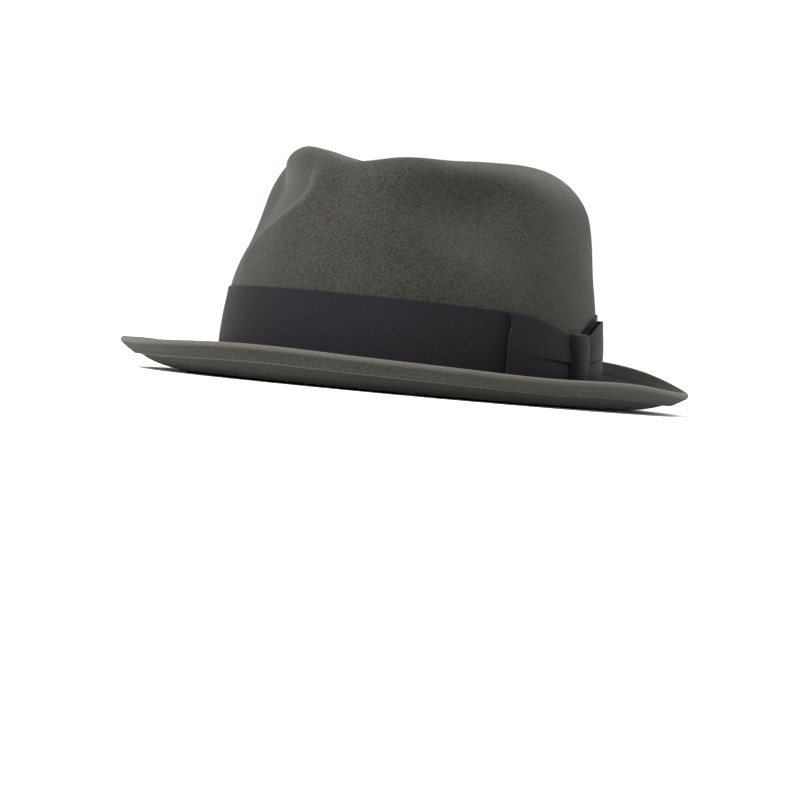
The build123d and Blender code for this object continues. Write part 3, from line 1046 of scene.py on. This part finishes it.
def loop_strip(knot, fold, proud, top, slant, crease, gap, rows=81, columns=81):
    """A flattened loop between the angle of the knot and that of the fold, as high as top.
    Its section is a slim drop: the face stands off the band by a bump that grows to the fold, and
    the back lies a gap below it, near the band. Gathers are cosine waves across the strip that die
    out away from the knot. The tuck is a step up at the share crease, which sinks away above."""
    length = np.linspace(0.0, 1.0, columns)
    out = 0.5 - 0.5 * np.cos(2 * np.pi * length)
    reach = 1.0 - np.abs(2 * length - 1.0) ** 2.6
    side = np.where(length < 0.5, 1.0, -1.0)
    fat = proud * np.sqrt(np.clip(1.0 - np.abs(2 * reach - 1.35) ** 2.2, 0.0, 1.0))
    across = np.linspace(0.0, 1.0, rows)[:, None]
    near_knot = np.exp(-((reach / 0.42) ** 2))[None, :]
    angle = knot + (fold - knot) * reach[None, :] + slant * (across - 0.5) * reach[None, :] ** 2
    foot = break_height(angle)
    low = foot + 1.3 + 0.45 * drawn_in(angle)
    high = foot + top - drawn_in(angle)
    height = low + (high - low) * across
    angle = angle + np.sign(knot - fold) * 0.9 * bump(across, 0.84, 0.1) * reach[None, :] ** 8
    tuck = np.exp(-((reach / 0.5) ** 2))[None, :]
    gather = 0.2 * near_knot * np.cos(across * 2 * np.pi * 3.0 + 0.6)
    lip = smooth_step((across - crease) / 0.035) * np.exp(-np.maximum(across - crease, 0.0) / 0.22)
    gather = gather + tuck * (1.9 * lip - 0.5 * bump(across, crease - 0.03, 0.06))
    face = 1.6 + fat[None, :] * 0.5 * (1.0 + side[None, :]) + 0.15 * (out[None, :] - 1.0)
    lower = np.where(side[None, :] > 0, face, np.maximum(0.45, face - gap))
    blend = smooth_step((length - 0.42) / 0.16)
    depth = (face * (1.0 - blend) + lower * blend) + gather * (1.0 - blend) * 0.9
    radius = crown_radius(angle, height) + BOW_BASE + np.maximum(depth, 0.3)
    return place(angle, radius, height)


def ribbon_piece(name, grid, nodes, material=ribbon, bend=0.0):
    """A thin strip with real thickness, whose ribs run across its length. Beside the knot they bend
    by a parabola across the strip, which fades along it as a bell."""
    uv = grid_uv(grid, ring=False)
    along = uv[..., 0] / uv[..., 0].max()
    across = uv[..., 1] / uv[..., 1].max()
    uv[..., 0] += bend * (1.0 - (2.0 * across - 1.0) ** 2) * np.exp(-((along / 0.3) ** 2))
    piece = make_piece(name, grid, uv, ring=False, closed=False)
    thick = piece.modifiers.new("thickness", "SOLIDIFY")
    thick.thickness = RIBBON_THICK * MM
    thick.offset = 0.0
    finish_piece(piece, material, nodes)
    return piece


front_grid = loop_strip(
    knot=90.0, fold=56.6, proud=1.3, top=37.6, slant=0.4, crease=0.44, gap=9.0)
rear_grid = loop_strip(
    knot=91.0, fold=114.8, proud=2.0, top=36.4, slant=-1.6, crease=0.46, gap=0.8)
ribbon_piece("front_loop_ribbon", front_grid, ["bow_front_loop"], bend=3.6)
ribbon_piece("rear_loop_ribbon", rear_grid, ["bow_rear_loop"])

# %% [markdown]
# ## The knot and its tacks
#
# The knot is a short piece of the ribbon, folded narrower and wrapped over the gathers. A bent box
# would show flat sides, so its section is a superellipse, which rolls under at the long sides. One
# tack of thread holds each loop down beside it.


def knot_strip(rows=61, columns=57):
    """The knot: a strip wrapped over the gathers. Its length runs up and over the face as part of a
    superellipse, its long sides roll under, and soft folds run along it."""
    around = np.radians(np.linspace(-108.0, 108.0, columns))[None, :]
    across = np.sin(np.linspace(-np.pi / 2, np.pi / 2, rows))[:, None]
    middle = float(break_height(np.array(KNOT_ANGLE))) + 17.9
    half_high, half_wide, proud, base = 12.5, 9.8, 4.8, 2.8
    fullness = np.sqrt(np.clip(1.0 - np.abs(across) ** 4.0, 0.0, 1.0))
    up = np.sign(np.sin(around)) * np.abs(np.sin(around)) ** 0.7
    out = np.sign(np.cos(around)) * np.abs(np.cos(around)) ** 0.6
    folds = 0.07 * np.cos(across * 5.5 + 0.5)
    height = middle + half_high * up * (0.93 + 0.07 * fullness)
    lift = (proud - base) * np.where(out > 0.0, out, 0.5 * out)
    depth = BOW_BASE + base * (0.55 + 0.45 * fullness) + (lift + folds * np.clip(out, 0.0, 1.0)) * fullness
    waist = 1.0 - 0.12 * (1.0 - np.abs(up))
    angle = KNOT_ANGLE + np.degrees(half_wide * across * waist / HALF_WIDTH)
    return place(angle, crown_radius(angle, height) + depth, height)


# The knot wears the darker copy of the ribbon: painted shade.
ribbon_piece("shaded_knot_ribbon", knot_strip(), ["bow_knot"], shaded_knot_ribbon)


def tack_on(grid, row, column):
    """Centre, direction and outward normal of a tack on a cloth grid."""
    side = grid[row, column + 1] - grid[row, column - 1]
    rise = grid[row + 1, column] - grid[row - 1, column]
    away = np.cross(side, rise)
    centre = grid[row, column]
    away *= np.sign(np.dot(away, centre * [1, 1, 0]))
    return centre + away / np.linalg.norm(away) * 0.3, rise, away


tacks = [np.array(part) for part in zip(tack_on(front_grid, 3, 21), tack_on(rear_grid, 3, 21))]
bow_tacks = stitch_row("bow_thread", *tacks, 1.6, 0.45)
finish_piece(bow_tacks, ribbon_thread, ["bow_tacks"])

# %% [markdown]
# ## The sweatband
#
# A strip of thin leather lines the foot of the crown, and a tape joins its lower edge to the felt.
# Both could be sheets given a thickness by a modifier, but a closed section with round edges,
# carried round the head, meets the light at its edges as cut leather does.

# %% The sweatband
def strip_section(low, high, near, far, faces=12, ends=7):
    """Closed section of a strip between two heights and two insets: up one face, over a round edge,
    down the other face and round again. Gives rows of height and inset."""
    half, middle = (far - near) / 2, (far + near) / 2
    share = np.linspace(0.0, 1.0, faces)[:, None]
    turn = np.linspace(0.0, np.pi, ends)[1:-1, None]
    face = low + half + (high - low - 2 * half) * share
    over = high - half + half * np.sin(turn)
    under = low + half - half * np.sin(turn)
    flat = 0.0 * face
    height = np.concatenate([face, over, face[::-1], under])
    inset = np.concatenate([flat + near, middle - half * np.cos(turn) + 0.0 * over,
                            flat + far, middle + half * np.cos(turn) + 0.0 * under])
    return height, inset


def ring_strip(name, low, high, near, far, faces, shape, material, nodes):
    """A strip all round the inside. shape(angle, height) gives a further inset."""
    angle = AROUND[None, :]
    height, inset = strip_section(low(angle), high(angle), near, far, faces)
    grid = place(angle, felt_radius(angle, height) - inset - shape(angle, height), height)
    piece = make_piece(name, grid, grid_uv(grid, loop=True), loop=True)
    finish_piece(piece, material, nodes)
    length = float(run_along(grid[faces // 2])[-1])
    print(name, round(length), "mm long")
    return piece, length


def above_foot(rise):
    """A height that follows the crease above the brim."""
    return lambda angle: break_height(angle) + rise


def leather_shape(angle, height):
    """The leather leans in a little at its free top edge, waves slowly, and has a seam at the back."""
    free = np.clip((height - break_height(angle) - 14.0) / 24.0, 0.0, 1.0)
    wave = 0.22 * (1.0 + np.sin(np.radians(4 * angle + 30.0)))
    wave = wave + 0.1 * (1.0 + np.sin(np.radians(9 * angle)))
    return free**2 * wave - 0.25 * bump(np.abs(angle), 180.0, 0.35)


ring_strip(
    "sweatband_strip", above_foot(1.0), above_foot(38.0), FELT + 0.8, FELT + 1.9, 34,
    leather_shape, leather, ["sweatband"])
ring_strip(
    "reed_tape_strip", above_foot(1.0), above_foot(10.0), FELT + 0.25, FELT + 0.6, 6,
    lambda angle, height: 0.0 * height, tape_cloth, ["reed_tape"])

# %% [markdown]
# ## The reed
#
# A thin rod of plastic runs in the sweatband's lower edge and keeps the opening oval. It could be a
# curve with a bevel, but as a grid it goes through the same steps as every other piece.

# %% The reed
def tube(name, radius_of, height_of, thick, material, nodes, sides=12):
    """A round cord that runs all round the head."""
    turn = np.linspace(0.0, 2 * np.pi, sides, endpoint=False)[:, None]
    angle = AROUND[None, :]
    grid = place(angle, radius_of(angle) + thick * np.cos(turn), height_of(angle) + thick * np.sin(turn))
    piece = make_piece(name, grid, grid_uv(grid, loop=True), loop=True)
    finish_piece(piece, material, nodes)


tube(
    "reed_cord", lambda a: crown_radius(a, break_height(a)) - 3.6, above_foot(-0.2), 0.8,
    reed_plastic, ["sweatband_reed"])

# %% [markdown]
# ## The sweatband's stitches
#
# A zigzag joins leather, tape and felt, and a second one closes the leather's ends at the back. Both
# reuse the row of stitches, with a new direction for each stitch.

# %% The sweatband's stitches
def inside_line(angle, height, inset):
    """Points inside the crown, at an inset from the outside of the felt."""
    return place(angle, felt_radius(angle, height) - inset, height)


def zigzag(angle, low, high, inset):
    """Stitches that run up and down in turn between two heights, for consecutive angles."""
    up = np.arange(len(angle) - 1) % 2 == 0
    start = inside_line(angle[:-1], np.where(up, low[:-1], high[:-1]), inset)
    stop = inside_line(angle[1:], np.where(up, high[1:], low[1:]), inset)
    middle = (start + stop) / 2
    return middle, stop - start, -middle * [1.0, 1.0, 0.0]


zigzag_angle = even_angles(lambda a: crown_radius(a, break_height(a)) - 4.0, 1.5)
zigzag_foot = break_height(zigzag_angle)
zigzag_rows = zigzag(zigzag_angle, zigzag_foot + 1.9, zigzag_foot + 3.9, 4.0)
sweatband_stitching = stitch_row("zigzag_thread", *zigzag_rows, 2.4, 0.34)
finish_piece(sweatband_stitching, inner_thread, ["sweatband_stitching"])


def seam_zigzag(count=33):
    """Stitches from side to side across the seam at the back, from below to above."""
    height = float(break_height(np.array(180.0))) + np.linspace(4.9, 36.7, count)
    side = np.where(np.arange(count) % 2 == 0, -1.05, 1.05)
    inset = 4.0 + leather_shape(np.array(178.0), height)
    points = inside_line(180.0 + side, height, inset)
    middle = (points[:-1] + points[1:]) / 2
    return middle, points[1:] - points[:-1], -middle * [1.0, 1.0, 0.0]


back_seam = stitch_row("back_seam_thread", *seam_zigzag(), 3.4, 0.34)
finish_piece(back_seam, inner_thread, ["sweatband_back_seam"])

# %% [markdown]
# ## The small bow
#
# A little ribbon bow hides the seam of the leather. At this size its loops are flat, so one closed
# tube with a waist and a few pleats is enough, where a tied bow would need three pieces.

# %% The small bow
def small_bow(rows=49, columns=97):
    """A flat ribbon loop on each side, drawn in at the middle, with a knot. Its height follows a
    waisted curve and its face is a pillow with pleats near the waist."""
    along = np.linspace(-1.0, 1.0, columns)[None, :]
    around = np.linspace(0.0, 2 * np.pi, rows, endpoint=False)[:, None]
    far = np.abs(along)
    knot = np.exp(-((far / 0.17) ** 6))
    half = (2.0 + 2.9 * np.clip(far, 0.0, 1.0) ** 0.8) * (1.0 - knot) + 2.5 * knot
    end = np.sqrt(np.clip(1.0 - far**9, 0.0, 1.0))
    up = np.sign(np.sin(around)) * np.abs(np.sin(around)) ** 0.6
    out = np.cos(around)
    pleat = 0.22 * np.cos(up * 9.0) * np.exp(-((far - 0.25) / 0.3) ** 2) * (1.0 - knot)
    fat = (0.85 + 0.25 * np.sin(far * np.pi)) * end * (1.0 - knot) + 1.15 * knot
    height = float(break_height(np.array(180.0))) + 31.0 + half * up * (0.75 + 0.25 * end)
    inset = 5.3 + leather_shape(np.array(178.0), height) + out * fat + pleat * np.clip(out, 0, 1)
    return inside_line(180.0 + 7.4 * along, height, inset)


small_bow_grid = np.transpose(small_bow(), (1, 0, 2))
sweatband_bow = make_piece("small_bow_ribbon", small_bow_grid, grid_uv(small_bow_grid))
finish_piece(sweatband_bow, small_ribbon, ["sweatband_bow"])

# %% [markdown]
# ## The lining
#
# Satin lines the crown in two parts, a gathered side and a tip that follows the dent. Their seam is
# covered by a piping cord, and tacks of thread hold the side's lower edge above the sweatband. The
# felt holds the satin in place, so it needs no simulation: the folds are sine waves on the wall.

# %% The lining
LINING_FOOT, LINING_JOIN = 49.5, 84.0
LINING_INSET, LINING_BACK = FELT + 0.3, FELT + 0.65


def lining_gathers(angle, height):
    """Soft vertical folds, fullest below the middle of the side and flat at both its edges."""
    share = np.clip((height - LINING_FOOT) / (LINING_JOIN - LINING_FOOT), 0.0, 1.0)
    full = 4.0 * share * (1.0 - share)
    turn = np.radians(angle)
    folds = 0.35 * (1.0 + np.sin(23 * turn + 1.5 * np.sin(5 * turn)))
    small = 0.10 * (1.0 + np.sin(61 * turn + 2.0 * np.sin(7 * turn) + 0.05 * height))
    return (folds + small) * full


lining_side, side_length = ring_strip(
    "lining_side_satin", lambda a: LINING_FOOT + 0.0 * a, lambda a: LINING_JOIN + 0.0 * a,
    LINING_INSET, LINING_BACK, 30, lining_gathers, satin, ["lining_side"])


def tip_shell(inset):
    """The crown's own rows at an inset, from the middle of the dent down to the piping."""
    angle = AROUND[None, :]
    top = ridge_height(angle) - shoulder_depth(angle)
    low = top + (LINING_JOIN + 0.3 - top) * np.linspace(0.0, 1.0, 8)[1:, None]
    dent = dent_line(angle, np.linspace(0.0, 1.0, 26)[:, None], inset)
    shoulder = shoulder_line(angle, np.linspace(0.0, 1.0, 22)[1:, None], inset)
    return np.concatenate([dent, shoulder, place(angle, felt_radius(angle, low) - inset, low)])


tip_grid = np.concatenate([tip_shell(LINING_INSET), tip_shell(LINING_BACK)[::-1]])
lining_tip = make_piece("lining_tip_satin", tip_grid, grid_uv(tip_grid))
finish_piece(lining_tip, satin, ["lining_tip"])

# %% Piping and tacks
PIPING_HEIGHT = LINING_JOIN - 0.8
TACK_HEIGHT = 50.6

tube(
    "piping_cord", lambda a: felt_radius(a, PIPING_HEIGHT) - FELT - 1.55,
    lambda a: PIPING_HEIGHT + 0.0 * a, 0.6, piping_cloth, ["lining_piping"])


def row_of(angle, height, inset):
    """Stitches along the lining at one height."""
    middle = inside_line(angle, height, inset)
    ahead = inside_line(angle + 0.5, height, inset)
    return middle, ahead - middle, -middle * [1.0, 1.0, 0.0]


tack_rows = row_of(np.arange(-165.0, 180.0, 30.0), TACK_HEIGHT, FELT + 0.75)
lining_tacks = stitch_row("lining_thread_tacks", *tack_rows, 2.2, 0.3)
finish_piece(lining_tacks, inner_thread, ["lining_tacks"])

# %% [markdown]
# ## The care label
#
# A blank woven tape hangs from the lining's lower edge and can be flipped up. It could bend with a
# lattice, but it is short and turns about its sewn edge, so it rides on a body of its own and its
# mesh is made where it hangs.


def label_grid(rows=31, columns=25):
    """A flat strip that hangs, with a slight curl: a sine along its height and across its width."""
    low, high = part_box("care_label")
    y = np.linspace(low.y, high.y, columns)[None, :] / MM
    z = np.linspace(low.z, high.z, rows)[:, None] / MM
    down = (z[-1] - z) / (z[-1] - z[0])
    x = (low.x + high.x) / 2 / MM - 0.25 * down**2 + 0.12 * down * np.sin(y / 6.0)
    return np.stack(np.broadcast_arrays(x, y, z), axis=-1)


label_points = label_grid()
care_label = make_piece("care_label_cloth", label_points, grid_uv(label_points, ring=False), ring=False,
                        closed=False, body="care_label")
label_thick = care_label.modifiers.new("thickness", "SOLIDIFY")
label_thick.thickness = 0.3 * MM
label_thick.offset = 0.0
finish_piece(care_label, label_cloth, ["care_label"])


def label_stitches(count=8):
    """A row of stitches across the top of the label."""
    low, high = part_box("label_stitching")
    y = (low.y + (high.y - low.y) * (np.arange(count) + 0.5) / count) / MM
    x, z = (low.x + high.x) / 2 / MM, (low.z + high.z) / 2 / MM
    middle = np.stack([0 * y + x, y, 0 * y + z], axis=-1)
    along = np.tile([0.0, 1.0, 0.0], (count, 1))
    away = np.tile([-1.0, 0.0, 0.0], (count, 1))
    return middle, along, away


label_stitching = stitch_row("label_thread", *label_stitches(), 2.3, 0.4)
finish_piece(label_stitching, inner_thread, ["label_stitching"])
